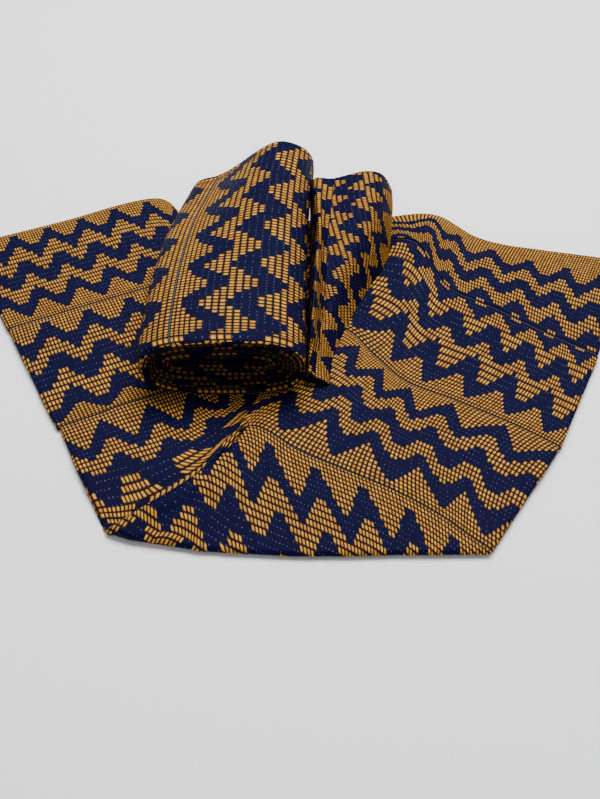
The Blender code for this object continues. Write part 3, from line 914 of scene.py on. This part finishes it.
def gold_thread(tree, tone, near_brick, near_row, fibre):
    """Gold floats with a painted highlight along their middle, with dark lines between them."""
    on_brick = ramp(tree, near_brick, 0.11, 0.34, 0.0, 1.0)
    lit = product(tree, on_brick, ramp(tree, near_row, 0.09, 0.26, 0.0, 1.0))
    # painted highlight: each float is lighter at its middle, the more so across the middle of its row
    across = maths(tree, "ADD", product(tree, near_row, 1.2), 0.4)
    painted_highlight = product(tree, product(tree, near_brick, 2.0), across)
    shade = maths(tree, "ADD", product(tree, tone, 0.42), product(tree, fibre, 0.30))
    shade = maths(tree, "ADD", shade, product(tree, painted_highlight, 0.42), clamp=True)
    colour = mixed(tree, shade, (0.165, 0.045, 0.002, 1.0), (0.70, 0.335, 0.032, 1.0))
    return mixed(tree, lit, (0.006, 0.003, 0.008, 1.0), colour)


def navy_thread(tree, tone, near_brick, near_row, row_place, grain):
    """Navy with fine ribs along the strip, and a pale stitch here and there."""
    rib = maths(tree, "PINGPONG", product(tree, row_place, 3.0), 0.5)
    rib = ramp(tree, rib, 0.0, 0.35, 0.20, 1.0)
    shade = product(tree, maths(tree, "ADD", product(tree, grain, 0.8), 0.2), rib)
    colour = mixed(tree, shade, (0.0003, 0.0003, 0.003, 1.0), (0.0014, 0.0016, 0.040, 1.0))
    speck = product(
        tree,
        ramp(tree, near_row, 0.05, 0.09, 1.0, 0.0),
        ramp(tree, near_brick, 0.32, 0.40, 0.0, 1.0),
        ramp(tree, tone, 0.42, 0.50, 0.0, 1.0),
    )
    return mixed(tree, product(tree, speck, 0.5), colour, (0.13, 0.14, 0.26, 1.0))


def with_seam(tree, colour, near_brick):
    """A dark join along the seam with pale stitches on it."""
    away = attribute(tree, "weave_seam")
    dark_line = ramp(tree, away, 0.9, 1.3, 1.0, 0.0)
    thread_line = ramp(tree, away, 0.20, 0.45, 1.0, 0.0)
    stitch = ramp(tree, near_brick, 0.08, 0.22, 0.25, 1.0)
    colour = mixed(tree, dark_line, colour, (0.002, 0.002, 0.008, 1.0))
    return mixed(tree, product(tree, thread_line, stitch), colour, (0.075, 0.082, 0.105, 1.0))


def weave_material():
    material = bpy.data.materials.new("kente_weave")
    material.use_nodes = True
    tree = material.node_tree
    shader = tree.nodes["Principled BSDF"]
    place = attribute(tree, "weave_place_and_shade", "Vector")
    brick_place, row_place, dark = node(tree, "ShaderNodeSeparateXYZ", {0: place}).outputs
    gold, tone = attribute(tree, "weave_gold"), attribute(tree, "weave_tone")
    near_brick = maths(tree, "PINGPONG", brick_place, 0.5)
    near_row = maths(tree, "PINGPONG", row_place, 0.5)
    grain = node(tree, "ShaderNodeTexNoise", {"Scale": 900.0, "Detail": 3.0}).outputs[0]
    stretched = node(tree, "ShaderNodeMapping", {0: place, 3: (7.0, 1.2, 1.0)}).outputs[0]
    fibre = node(tree, "ShaderNodeTexNoise", {"Vector": stretched, "Scale": 1.0, "Detail": 2.0}).outputs[0]
    navy_colour = navy_thread(tree, tone, near_brick, near_row, row_place, grain)
    gold_colour = gold_thread(tree, tone, near_brick, near_row, fibre)
    colour = with_seam(tree, mixed(tree, gold, navy_colour, gold_colour), near_brick)
    # painted shade: cloth deep in the winding is mixed towards near black
    colour = mixed(tree, dark, colour, (0.0015, 0.0012, 0.004, 1.0))
    tree.links.new(colour, shader.inputs["Base Color"])
    shader.inputs["Roughness"].default_value = 0.62
    shader.inputs["Specular IOR Level"].default_value = 0.05
    bump = node(tree, "ShaderNodeBump", {"Strength": 0.4, "Distance": 0.0004, "Height": grain})
    tree.links.new(bump.outputs[0], shader.inputs["Normal"])
    return material


def plain_material(name, colour, roughness):
    material = bpy.data.materials.new(name)
    material.use_nodes = True
    shader = material.node_tree.nodes["Principled BSDF"]
    shader.inputs["Base Color"].default_value = (*colour, 1.0)
    shader.inputs["Roughness"].default_value = roughness
    return material


def floor_and_backdrop():
    """A pale floor that curves up behind the cloth."""
    half_width, front, bend, radius, top = 3.0, -2.0, 1.6, 1.2, 3.0
    run = np.linspace(bend, bend + radius, 25)
    rise = radius - np.sqrt(np.maximum(radius**2 - (run - bend) ** 2, 0.0))
    profile = [(front, 0.0), *zip(run.tolist(), rise.tolist()), (bend + radius, top)]
    points = [(x, y, z) for y, z in profile for x in (-half_width, half_width)]
    faces = [(2 * i, 2 * i + 1, 2 * i + 3, 2 * i + 2) for i in range(len(profile) - 1)]
    mesh = bpy.data.meshes.new("floor")
    mesh.from_pydata(points, [], faces)
    mesh.materials.append(plain_material("floor_paper", (0.86, 0.86, 0.86), 0.9))
    mesh.shade_smooth()
    obj = bpy.data.objects.new("floor", mesh)
    bpy.context.scene.collection.objects.link(obj)


def area_light(name, place, target, size, power):
    """A soft light at a place, turned to its target."""
    light = bpy.data.lights.new(name, "AREA")
    light.shape = "RECTANGLE"
    light.size, light.size_y = size
    light.energy = power
    obj = bpy.data.objects.new(name, light)
    obj.location = place
    x, y, z = (float(p - t) for p, t in zip(place, target))
    obj.rotation_euler = (math.atan2(math.hypot(x, y), z), 0.0, math.atan2(x, -y))
    bpy.context.scene.collection.objects.link(obj)


def lighting():
    world = bpy.data.worlds.new("studio")
    world.use_nodes = True
    background = world.node_tree.nodes["Background"]
    background.inputs["Color"].default_value = (0.92, 0.95, 1.0, 1.0)
    background.inputs["Strength"].default_value = 0.47
    bpy.context.scene.world = world
    area_light("key", (0.12, 0.55, 1.45), (0.0, 0.0, 0.0), (1.2, 0.9), 54.0)
    area_light("front_fill", (0.3, -1.3, 1.1), (0.0, 0.0, 0.0), (1.2, 0.8), 1.5)


def camera():
    data = bpy.data.cameras.new("photo_camera")
    data.sensor_width = SENSOR_WIDTH
    data.lens = FOCAL_LENGTH / PICTURE_HEIGHT * SENSOR_WIDTH
    data.clip_start = 0.01
    obj = bpy.data.objects.new("photo_camera", data)
    obj.location = (PLAN_SHIFT[0], PLAN_SHIFT[1] - CAMERA_BACK, CAMERA_HEIGHT)
    obj.rotation_euler = (CAMERA_TILT, 0.0, 0.0)
    bpy.context.scene.collection.objects.link(obj)
    bpy.context.scene.camera = obj


def settle(obj, solid):
    """Hangs a sheet on the root body and hides the solid that it stands for."""
    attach(obj, "root")
    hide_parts(solid)


weave = weave_material()
plans = {}
for strip, first_row in ((1, -6), (2, 0), (3, 0)):
    obj, length, rails, plan = spread_strip(strip, first_row, weave)
    plans[strip] = (plan, rails)
    settle(obj, f"strip_{strip}")
obj, length = front_strip(weave)
settle(obj, "strip_4")
roll_cloth = make_roll()
inner_turns(roll_cloth)
obj = roll_cloth.piece("woven_roll", weave)
settle(obj, "roll")
obj = loose_sheet(weave, *plans[2])
settle(obj, "loose_turn")
floor_and_backdrop()
lighting()
camera()
